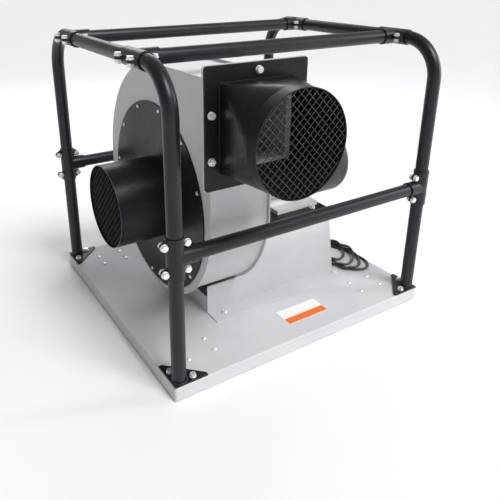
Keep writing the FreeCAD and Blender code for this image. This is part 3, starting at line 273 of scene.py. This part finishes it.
def ground_steel():
    f = Finish("ground_steel", 0.22, 1.0)
    rings = f.noise(60, 3, 0.6, f.stretched((40, 1, 1)))
    base = f.mix(f.between(rings, 0.35, 0.65), (0.72, 0.72, 0.71), (0.58, 0.57, 0.55))
    f.bump(rings, 0.00003)
    return f.done(base, f.between(rings, 0.3, 0.7, 0.16, 0.30))


def laminations():
    f = Finish("laminated_steel", 0.5, 0.8)
    sheets = f.node("ShaderNodeTexWave", bands_direction="X")
    sheets.inputs["Scale"].default_value = 320
    f.link(f.place, sheets.inputs["Vector"])
    base = f.mix(sheets.outputs["Fac"], (0.22, 0.22, 0.24), (0.36, 0.36, 0.38))
    f.bump(sheets.outputs["Fac"], 0.0001)
    return f.done(base)


def copper_coils():
    f = Finish("copper_winding", 0.3, 0.9, Coat_Weight=0.6, Coat_Roughness=0.15)
    wires = f.node("ShaderNodeTexWave", bands_direction="DIAGONAL")
    wires.inputs["Scale"].default_value = 140
    wires.inputs["Distortion"].default_value = 1.5
    f.link(f.place, wires.inputs["Vector"])
    base = f.mix(wires.outputs["Fac"], (0.30, 0.10, 0.03), (0.72, 0.33, 0.14))
    f.bump(wires.outputs["Fac"], 0.0004)
    return f.done(base)


def cast_grey():
    """Die-cast aluminium under a thin light-grey paint."""
    f = Finish("motor_grey", 0.45)
    base = f.mix(f.between(f.noise(16, 5, 0.6), 0.35, 0.65), (0.56, 0.54, 0.54), (0.47, 0.455, 0.455))
    rub = f.times(f.edges(0.001), f.between(f.noise(80, 3), 0.45, 0.65))
    base = f.mix(rub, base, (0.70, 0.69, 0.68))
    f.bump(f.noise(520, 4, 0.65), 0.00015)
    return f.done(base, f.between(f.noise(70, 3), 0.3, 0.7, 0.38, 0.56))


def moulded_black(name, grain_scale=1100, grain=0.00008, roughness=0.42):
    f = Finish(name, roughness)
    base = f.mix(f.between(f.noise(30, 4), 0.35, 0.65), (0.018, 0.018, 0.019), (0.030, 0.030, 0.032))
    rub = f.times(f.edges(0.0008), f.between(f.noise(120, 3), 0.5, 0.7))
    base = f.mix(rub, base, (0.07, 0.07, 0.07))
    f.bump(f.noise(grain_scale, 3, 0.7), grain)
    return f.done(base, f.between(f.noise(60, 3), 0.3, 0.7, roughness - 0.07, roughness + 0.1))


def cord_rubber():
    """Rubber sheath: fine talc-dull skin with faint scuffs."""
    f = Finish("cord_rubber", 0.45, Coat_Weight=0.5, Coat_Roughness=0.22)
    base = f.mix(f.between(f.noise(55, 4), 0.4, 0.65), (0.013, 0.013, 0.014), (0.024, 0.024, 0.026))
    scuffs = f.between(f.noise(160, 5, 0.7, None, 0.4), 0.60, 0.75)
    base = f.mix(scuffs, base, (0.05, 0.05, 0.05))
    f.bump(f.noise(1900, 2), 0.00006)
    return f.done(base, f.between(f.noise(90, 3), 0.3, 0.7, 0.36, 0.55))


def foot_rubber():
    f = Finish("foot_rubber", 0.75)
    base = f.mix(f.between(f.noise(40, 5), 0.35, 0.7), (0.020, 0.020, 0.020), (0.045, 0.044, 0.042))
    f.bump(f.noise(700, 4, 0.7), 0.0002)
    return f.done(base)


def rocker_plastic():
    f = Finish("rocker_red", 0.22, Coat_Weight=0.3, Coat_Roughness=0.1)
    base = f.mix(f.between(f.noise(80, 3), 0.35, 0.65), (0.60, 0.020, 0.012), (0.50, 0.014, 0.010))
    f.bump(f.noise(900, 2), 0.00003)
    return f.done(base, f.between(f.noise(140, 3), 0.3, 0.7, 0.17, 0.30))


def label_print():
    """Printed foil: a white field above, an orange band below and a thin pale border."""
    low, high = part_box("label_plate")
    f = Finish("label_print", 0.35, Specular_IOR_Level=0.4)
    split = f.node("ShaderNodeSeparateXYZ")
    f.link(f.place, split.inputs["Vector"])
    band_share, blur = 0.40, 0.0002
    border_start, border_end = 0.0010, 0.0014
    band_top = low.y + band_share * (high.y - low.y)
    sheen = f.between(f.noise(500, 2), 0.35, 0.65)
    white = f.mix(sheen, (0.86, 0.85, 0.83), (0.80, 0.79, 0.77))
    orange = f.mix(sheen, (0.84, 0.155, 0.004), (0.79, 0.140, 0.004))
    inside = f.between(split.outputs["Y"], band_top - blur, band_top + blur)
    printed = f.mix(inside, orange, white)
    border = None
    for axis, first, last in (("X", low.x, high.x), ("Y", low.y, high.y)):
        for edge, way in ((first, 1), (last, -1)):
            near = f.between(split.outputs[axis], edge + way * border_start, edge + way * border_end)
            border = near if border is None else f.times(border, near)
    f.bump(f.noise(1200, 2), 0.00002)
    return f.done(f.mix(border, (0.78, 0.77, 0.76), printed))


def floor_paint():
    f = Finish("studio_floor", 0.6)
    base = f.mix(f.between(f.noise(3, 3), 0.3, 0.7), (0.90, 0.90, 0.90), (0.88, 0.88, 0.885))
    f.bump(f.noise(300, 2), 0.0001)
    return f.done(base)


GREY = powder_coat("steel_grey_coat", (0.585, 0.59, 0.60), (0.555, 0.56, 0.575), (0.70, 0.70, 0.70), 0.42)
BLACK = powder_coat("frame_black_coat", (0.0085, 0.009, 0.011), (0.012, 0.0125, 0.015), (0.05, 0.05, 0.055),
                    0.33, gloss=0.42)
FAN_BLACK = powder_coat("fan_black_coat", (0.008, 0.0083, 0.0095), (0.011, 0.0115, 0.0135),
                        (0.04, 0.04, 0.045), 0.30, gloss=0.24)
FINISHES = {
    "steel_grey": GREY,
    "rubber_black": foot_rubber(),
    "zinc": zinc_plate(),
    "frame_black": BLACK,
    "fan_black": FAN_BLACK,
    "guard_wire": guard_wire(),
    "impeller_steel": galvanised(),
    "shaft_steel": ground_steel(),
    "lamination": laminations(),
    "copper_winding": copper_coils(),
    "motor_grey": cast_grey(),
    "motor_plastic_black": moulded_black("motor_plastic_black"),
    "rocker_red": rocker_plastic(),
    "label_print": label_print(),
    "cord_black": cord_rubber(),
    "tie_black": moulded_black("tie_nylon", 700, 0.00003, 0.35),
}


def paint_nodes():
    """Gives every CAD node the finish of its material slot in the record."""
    for part in frame["record"]["subparts"]:
        node = frame["nodes"][part["node"]]
        node.data.materials.clear()
        node.data.materials.append(FINISHES[part["material_slot"]])


# ------------------------------------------------------------------ mesh helpers
def piece(name, mesh_or_curve, slot, body="housing"):
    """Shown object with the finish of a slot, riding on a body."""
    made = bpy.data.objects.new(name, mesh_or_curve)
    bpy.context.scene.collection.objects.link(made)
    made.data.materials.append(FINISHES[slot])
    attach(made, body)
    return made


def mesh_from(name, build, sharp=40):
    """Mesh that build(bm) makes, smooth but for edges over the sharp angle."""
    bm = bmesh.new()
    build(bm)
    bmesh.ops.recalc_face_normals(bm, faces=bm.faces)
    mesh = bpy.data.meshes.new(name)
    bm.to_mesh(mesh)
    bm.free()
    mesh.shade_smooth()
    mesh.set_sharp_from_angle(angle=math.radians(sharp))
    return mesh


def frame_along(direction):
    """Two directions square to a given one, and it."""
    along = Vector(direction).normalized()
    side = along.orthogonal().normalized()
    return side, along.cross(side), along


def lathe(bm, profile, start, direction, steps=48):
    """Shape of revolution from (along, radius) pairs, closed at an end that lies on the axis."""
    side, up, along = frame_along(direction)
    rings = []
    for distance, radius in profile:
        centre = Vector(start) + along * distance
        if radius < 1e-6:
            rings.append([bm.verts.new(centre)])
            continue
        ring = []
        for k in range(steps):
            angle = 2 * math.pi * k / steps
            spoke = side * math.cos(angle) + up * math.sin(angle)
            ring.append(bm.verts.new(centre + spoke * radius))
        rings.append(ring)
    for first, second in zip(rings, rings[1:]):
        for k in range(steps):
            n = (k + 1) % steps
            corners = [first[k % len(first)], first[n % len(first)], second[n % len(second)],
                       second[k % len(second)]]
            corners = list(dict.fromkeys(corners))
            if len(corners) > 2:
                bm.faces.new(corners)


def bead_path(bm, points, radius, ripple=0.16, pitch=0.0032, sides=10):
    """Weld bead along a closed path: a round bead whose size ripples along it."""
    count = len(points)
    length = sum((points[(k + 1) % count] - points[k]).length for k in range(count))
    ripples = max(3, round(length / pitch))
    rings, travelled = [], 0.0
    for k in range(count):
        ahead, behind = points[(k + 1) % count], points[k - 1]
        side, up, _ = frame_along(ahead - behind)
        phase = math.pi * ripples * travelled / length
        size = radius * (1 - ripple + 2 * ripple * abs(math.sin(phase)))
        ring = []
        for j in range(sides):
            angle = 2 * math.pi * j / sides
            ring.append(bm.verts.new(points[k] + (side * math.cos(angle) + up * math.sin(angle)) * size))
        rings.append(ring)
        travelled += (ahead - points[k]).length
    for k in range(count):
        first, second = rings[k], rings[(k + 1) % count]
        shift = min(range(sides), key=lambda s: (first[0].co - second[s].co).length)
        for j in range(sides):
            n = (j + 1) % sides
            bm.faces.new((first[j], first[n], second[(n + shift) % sides], second[(j + shift) % sides]))


def circle_points(centre, axis, radius, count):
    """Points round a circle square to a named axis."""
    side, up, _ = frame_along(AXIS[axis])
    turn = 2 * math.pi / count
    return [centre + side * (radius * math.cos(turn * k)) + up * (radius * math.sin(turn * k))
            for k in range(count)]


# ------------------------------------------------------------------ camera, light and floor
def make_camera():
    data = bpy.data.cameras.new("camera")
    data.lens = CAMERA_LENS
    data.shift_x, data.shift_y = CAMERA_SHIFT
    camera = bpy.data.objects.new("camera", data)
    camera.location = CAMERA_PLACE
    camera.rotation_euler = (math.radians(90 - CAMERA_PITCH), 0, math.radians(CAMERA_HEADING))
    bpy.context.scene.collection.objects.link(camera)
    bpy.context.scene.camera = camera


def sun_light(name, towards, strength, softness):
    """Even light from a direction; softness is the width of its disc in degrees."""
    data = bpy.data.lights.new(name, "SUN")
    data.energy = strength * math.pi
    data.angle = math.radians(softness)
    light = bpy.data.objects.new(name, data)
    light.rotation_euler = Vector(towards).to_track_quat("Z", "Y").to_euler()
    bpy.context.scene.collection.objects.link(light)


def area_light(name, place, aim, size, power):
    """Rectangle of light at a place, turned to the point it is aimed at."""
    data = bpy.data.lights.new(name, "AREA")
    data.shape, data.size, data.size_y = "RECTANGLE", size[0], size[1]
    data.energy = power
    light = bpy.data.objects.new(name, data)
    light.location = place
    light.rotation_euler = (Vector(aim) - Vector(place)).to_track_quat("-Z", "Y").to_euler()
    bpy.context.scene.collection.objects.link(light)


def make_surround():
    """White round the horizon, dimmer on the left; above it a dim sky, brighter to the right."""
    world = bpy.data.worlds.new("surround")
    world.use_nodes = True
    tree = world.node_tree
    back = tree.nodes["Background"]
    place = tree.nodes.new("ShaderNodeTexCoord")
    split = tree.nodes.new("ShaderNodeSeparateXYZ")
    tree.links.new(place.outputs["Generated"], split.inputs["Vector"])
    sideways = tree.nodes.new("ShaderNodeMapRange")
    upwards = tree.nodes.new("ShaderNodeMapRange")
    around = tree.nodes.new("ShaderNodeMapRange")
    limits = ((sideways, "X", -1, 1, 0.14, 0.60), (upwards, "Z", 0.02, 0.30, 0.0, 1.0),
              (around, "X", -0.75, 0.05, 0.30, 0.97))
    for node, axis, low, high, out_low, out_high in limits:
        for key, number in zip(RANGE_KEYS, (low, high, out_low, out_high)):
            node.inputs[key].default_value = number
        tree.links.new(split.outputs[axis], node.inputs["Value"])
    blend = tree.nodes.new("ShaderNodeMix")
    tree.links.new(around.outputs["Result"], blend.inputs["A"])
    tree.links.new(upwards.outputs["Result"], blend.inputs["Factor"])
    tree.links.new(sideways.outputs["Result"], blend.inputs["B"])
    tree.links.new(blend.outputs["Result"], back.inputs["Strength"])
    back.inputs["Color"].default_value = (0.96, 0.98, 1.0, 1)
    bpy.context.scene.world = world


def make_studio():
    """Pale floor, a soft key from the front, a tall light on the right and a broad one behind."""
    def grid(bm):
        bmesh.ops.create_grid(bm, x_segments=1, y_segments=1, size=FLOOR_HALF)

    mesh = mesh_from("floor", grid)
    floor = bpy.data.objects.new("floor", mesh)
    bpy.context.scene.collection.objects.link(floor)
    floor.data.materials.append(floor_paint())
    sun_light("key", KEY_FROM, KEY_STRENGTH, KEY_SOFTNESS)
    area_light("side_strip", SIDE_STRIP_PLACE, SIDE_STRIP_AIM, SIDE_STRIP_SIZE, SIDE_STRIP_WATTS)
    area_light("rear_strip", REAR_STRIP_PLACE, REAR_STRIP_AIM, REAR_STRIP_SIZE, REAR_STRIP_WATTS)
    make_surround()
    bpy.context.scene.view_settings.view_transform = "Standard"


# ------------------------------------------------------------------ mains cord
def quarter(centre, width, height, first_angle):
    """Points of a quarter oval, clockwise from above, from an angle in quarter turns."""
    found = []
    for k in range(QUARTER_STEPS):
        angle = math.pi / 2 * (first_angle - k / QUARTER_STEPS)
        found.append(Vector((centre[0] + width * math.cos(angle), centre[1] + height * math.sin(angle))))
    return found


def straight(start, end):
    """Evenly spaced points from a start up to, but without, an end."""
    start, end = Vector(start), Vector(end)
    count = max(1, round((end - start).length / STRAIGHT_STEP))
    return [start.lerp(end, k / count) for k in range(count)]


def coil_plan():
    """The coil seen from above, and which of its points lie at the tie."""
    plan, at_tie = [Vector(p) for p in INTO_COIL], []
    for n, (front, right) in enumerate(zip(LOOP_FRONTS, LOOP_RIGHTS)):
        left = TIE_X + STRAND_STEP * STRAND_PLACES[n]
        left_width, left_height = FIRST_LOOP if n == 0 else OTHER_LOOPS
        right_height = FIRST_RIGHT_HEIGHT if n == 0 else OTHER_RIGHT_HEIGHT
        bottom_x = left + left_width
        shoulder = front + right_height
        if n > 0:
            before = TIE_X + STRAND_STEP * STRAND_PLACES[n - 1]
            middle, half = (before + right) / 2, (right - before) / 2
            rear, down_to = LOOP_REARS[n - 1], max(TIE_Y, shoulder)
            plan += quarter((middle, TIE_Y), half, rear - TIE_Y, 2)
            plan += quarter((middle, down_to), half, rear - down_to, 1)
            if shoulder < TIE_Y:
                plan += straight((right, TIE_Y), (right, shoulder))
        plan += quarter((bottom_x, shoulder), right - bottom_x, right_height, 0)
        plan += quarter((bottom_x, front + left_height), left_width, left_height, -1)
        if front + left_height < TIE_Y:
            plan += straight((left, front + left_height), (left, TIE_Y))
        at_tie.append(len(plan))
    plan.append(Vector((left, TIE_Y)))
    return plan + [Vector(p) for p in OUT_OF_COIL], at_tie


def settled(plan):
    """Lays the plan's points down in order. Each clears the strands under it and slopes gently."""
    clear = CORD_D * STRAND_CLEAR
    heights = []
    for i, here in enumerate(plan):
        height = LIE_Z
        for j in range(i - SKIPPED_POINTS):
            way = plan[j + 1] - plan[j]
            share = max(0.0, min(1.0, (here - plan[j]).dot(way) / way.length_squared))
            gap = (plan[j] + way * share - here).length
            if gap < clear:
                under = heights[j] + (heights[j + 1] - heights[j]) * share
                height = max(height, under + math.sqrt(clear ** 2 - gap ** 2))
        if heights:
            height = max(height, heights[-1] - STRAND_SLOPE * (plan[i - 1] - here).length)
        heights.append(height)
        for j in range(i - 1, -1, -1):
            lift = heights[j + 1] - STRAND_SLOPE * (plan[j + 1] - plan[j]).length
            if heights[j] >= lift:
                break
            heights[j] = lift
    for _ in range(SMOOTHING_ROUNDS):
        ends = heights[:1] + heights + heights[-1:]
        heights = [(a + 2 * b + c) / 4 for a, b, c in zip(ends, ends[1:], ends[2:])]
    return [(p.x, p.y, z) for p, z in zip(plan, heights)]


COIL_PLAN, AT_TIE = coil_plan()
COIL = settled(COIL_PLAN)


def make_cord():
    curve = bpy.data.curves.new("mains_cord", "CURVE")
    curve.dimensions = "3D"
    curve.bevel_depth = CORD_D / 2
    curve.bevel_resolution = 5
    curve.resolution_u = 10
    curve.use_fill_caps = True
    points = LEAD_ROUTE + COIL + TAIL_ROUTE
    spline = curve.splines.new("NURBS")
    spline.points.add(len(points) - 1)
    for point, place in zip(spline.points, points):
        point.co = (*row(*place), 1)
    spline.order_u = 3
    spline.use_endpoint_u = True
    cord = piece("mains_cord", curve, "cord_black")
    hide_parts("cord_lead", "cord_coil", "cord_tail")
    return cord


make_camera()
CORD = make_cord()


# ------------------------------------------------------------------ pieces on the cord
def hull_loop(centres, radius, steps=40):
    """Outline of a strap drawn tight round circles, as points seen along the strap's axis."""
    outline = []
    for k in range(steps):
        angle = 2 * math.pi * k / steps
        way = Vector((math.cos(angle), math.sin(angle)))
        support = max(centres, key=lambda c: c.dot(way))
        outline.append(support + way * radius)
    return outline


def make_tie():
    """Nylon strap round the strands, with its ratchet head on top and its end sticking out."""
    strands = [Vector((COIL[i][0], COIL[i][2])) for i in AT_TIE]
    inner = hull_loop(strands, CORD_D / 2 + STRAP_INSIDE)
    outer = hull_loop(strands, CORD_D / 2 + STRAP_OUTSIDE)
    half = STRAP_HALF_WIDTH

    def build(bm):
        rings = [[bm.verts.new(row(p.x, TIE_Y + side, p.y)) for p in loop]
                 for loop, side in ((inner, -half), (outer, -half), (outer, half), (inner, half))]
        for first, second in zip(rings, rings[1:] + rings[:1]):
            for k in range(len(first)):
                n = (k + 1) % len(first)
                bm.faces.new((first[k], first[n], second[n], second[k]))

        def block(centre, size, bevel):
            made = bmesh.ops.create_cube(bm, size=1)["verts"]
            bmesh.ops.scale(bm, vec=size, verts=made)
            bmesh.ops.translate(bm, vec=centre, verts=made)
            edges = list({e for v in made for e in v.link_edges})
            bmesh.ops.bevel(bm, geom=edges, offset=bevel, segments=2, affect="EDGES")

        x, top = max(strands, key=lambda c: c.y)
        top += CORD_D / 2
        block(row(x + 0.002, TIE_Y, top + 0.0022), (0.0072, 0.0076, 0.0046), 0.0007)
        block(row(x - 0.008, TIE_Y, top + 0.0034), (0.015, 0.0046, 0.0012), 0.0003)

    tie = piece("cable_tie_strap", mesh_from("cable_tie_strap", build), "tie_black")
    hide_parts("cable_tie")
    return tie


def ribbed(start, end, first_r, last_r, ribs, depth):
    """Profile of a tapering boot whose grooves run round it."""
    profile, step = [], (end - start) / ribs
    for k in range(ribs):
        for share, drop in ((0.0, 0), (0.12, 0), (0.22, depth), (0.62, depth), (0.72, 0), (1.0, 0)):
            along = start + step * (k + share)
            radius = first_r + (last_r - first_r) * (along - start) / (end - start)
            profile.append((along, radius - drop))
    return profile


def make_plug():
    """Round two-pin plug: ribbed boot, waisted grip, flat face with two pins and earth contacts."""
    start, back = row(*TAIL_ROUTE[-1]), (-1, 0, 0)
    boot = [(0, CORD_D / 2 - 0.0002), (0, 0.0046)] + ribbed(0.0005, 0.022, 0.0048, 0.0078, 5, 0.0009)
    grip = [(0.0225, 0.0084), (0.0235, 0.0118), (0.0250, 0.0132), (0.0290, 0.0146), (0.0330, 0.0168),
            (0.0350, 0.0177), (0.0370, 0.0180)]
    for k in range(3):
        along = 0.0385 + 0.0045 * k
        grip += [(along, 0.0180), (along + 0.0006, 0.0172)]
        grip += [(along + 0.0020, 0.0172), (along + 0.0026, 0.0180)]
    face = [(0.0565, 0.0180), (0.0576, 0.0176), (0.0580, 0.0168), (0.0580, 0)]
    body = piece("plug_body", mesh_from("plug_body", lambda bm: lathe(bm, boot + grip + face, start, back)),
                 "cord_black")
    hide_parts("mains_plug")

    pin_base, pin_out = 0.0575, 0.0095
    contact_middle, contact_out = 0.0482, 0.0172
    contact_size = (0.019, 0.0052, 0.0009)

    def pins(bm):
        for side in (-1, 1):
            base = start + Vector((-pin_base, side * pin_out, 0))
            pin = [(0, 0), (0, 0.0024), (0.0165, 0.0024), (0.0185, 0.0017), (0.0194, 0)]
            lathe(bm, pin, base, back, 24)

    def contacts(bm):
        for side in (-1, 1):
            made = bmesh.ops.create_cube(bm, size=1)["verts"]
            bmesh.ops.scale(bm, vec=contact_size, verts=made)
            middle = start + Vector((-contact_middle, 0, side * contact_out))
            bmesh.ops.translate(bm, vec=middle, verts=made)
            edges = list({e for v in made for e in v.link_edges})
            bmesh.ops.bevel(bm, geom=edges, offset=0.0003, segments=2, affect="EDGES")

    metal = [piece("plug_pins", mesh_from("plug_pins", pins), "shaft_steel"),
             piece("plug_earth_contacts", mesh_from("plug_earth_contacts", contacts), "shaft_steel")]
    return [body] + metal


ON_CORD = [make_tie()] + make_plug()


# ------------------------------------------------------------------ switch box pieces
def make_gland():
    """Hexagonal gland nut with a domed cap, and the ribbed boot that the cord leaves."""
    low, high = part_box("cable_gland")
    centre = Vector((0, (low.y + high.y) / 2, (low.z + high.z) / 2))
    start = Vector((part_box("switch_box")[1].x, centre.y, centre.z))
    along = (1, 0, 0)
    bore = 0.0036

    def nut(bm):
        hexagon = [(0, 0.0040), (0, 0.0108), (0.0004, 0.0110), (0.0068, 0.0110), (0.0074, 0.0104)]
        lathe(bm, hexagon, start, along, 6)
        cap = [(0.0070, bore), (0.0070, 0.0098), (0.0100, 0.0096), (0.0116, 0.0086), (0.0122, 0.0070),
               (0.0122, bore)]
        lathe(bm, cap, start, along)

    boot_end = high.x - start.x

    def boot(bm):
        profile = [(0.0110, bore), (0.0110, 0.0074)] + ribbed(0.0122, boot_end, 0.0074, 0.0050, 6, 0.0010)
        lathe(bm, profile + [(boot_end, bore)], start, along)

    nut_piece = piece("gland_nut", mesh_from("gland_nut", nut, 30), "motor_plastic_black")
    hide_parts("cable_gland")
    piece("gland_boot", mesh_from("gland_boot", boot), "cord_black")


def make_lid_screws():
    """Four screws with a round recess, in the corners of the switch box lid."""
    low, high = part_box("switch_box")
    lid_thickness, inset = 0.004, 0.008
    face = high.y + lid_thickness

    def build(bm):
        for x in (low.x + inset, high.x - inset):
            for z in (low.z + inset, high.z - inset):
                place = Vector((x, face, z))
                head = [(-0.001, 0), (-0.001, 0.0032), (0.0006, 0.0032), (0.0014, 0.0027), (0.0018, 0.0018),
                        (0.0018, 0.0009), (0.0006, 0.0007), (0.0006, 0)]
                lathe(bm, head, place, (0, 1, 0), 28)

    piece("switch_lid_screws", mesh_from("switch_lid_screws", build, 30), "zinc")


# ------------------------------------------------------------------ weld beads
def make_weld_beads():
    """Painted weld beads: hoop ends, inlet spigot, and the adapter on its plate."""
    tube_r, post_inset, plate_top = 0.016, 0.020, 0.040
    tray_low, tray_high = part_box("base_tray")

    def posts(bm):
        for x in (tray_low.x + post_inset, tray_high.x - post_inset):
            for y in (tray_low.y + post_inset, tray_high.y - post_inset):
                ring = circle_points(Vector((x, y, plate_top)), "z", tube_r + 0.0008, 160)
                bead_path(bm, ring, POST_BEAD)

    piece("hoop_weld_beads", mesh_from("hoop_weld_beads", posts), "frame_black")

    low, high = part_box("inlet_spigot")
    centre = Vector((high.x, (low.y + high.y) / 2, (low.z + high.z) / 2))
    radius = (high.z - low.z) / 2

    def spigot(bm):
        bead_path(bm, circle_points(centre, "x", radius + 0.0004, 480), SPIGOT_BEAD)

    piece("inlet_weld_bead", mesh_from("inlet_weld_bead", spigot), "fan_black")

    plate_low, plate_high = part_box("outlet_flange_plate")
    adapter_half = 0.088
    middle = (plate_low + plate_high) / 2

    def adapter(bm):
        around, per_side = [], 90
        corners = [(-1, -1), (1, -1), (1, 1), (-1, 1)]
        for (ax, az), (bx, bz) in zip(corners, corners[1:] + corners[:1]):
            for k in range(per_side):
                share = 0.02 + 0.96 * k / (per_side - 1)
                x = middle.x + adapter_half * (ax + (bx - ax) * share)
                z = middle.z + adapter_half * (az + (bz - az) * share)
                around.append(Vector((x, plate_low.y, z)))
        bead_path(bm, around, ADAPTER_BEAD)

    piece("outlet_weld_bead", mesh_from("outlet_weld_bead", adapter), "fan_black")


make_gland()
make_lid_screws()
make_weld_beads()
paint_nodes()
make_studio()
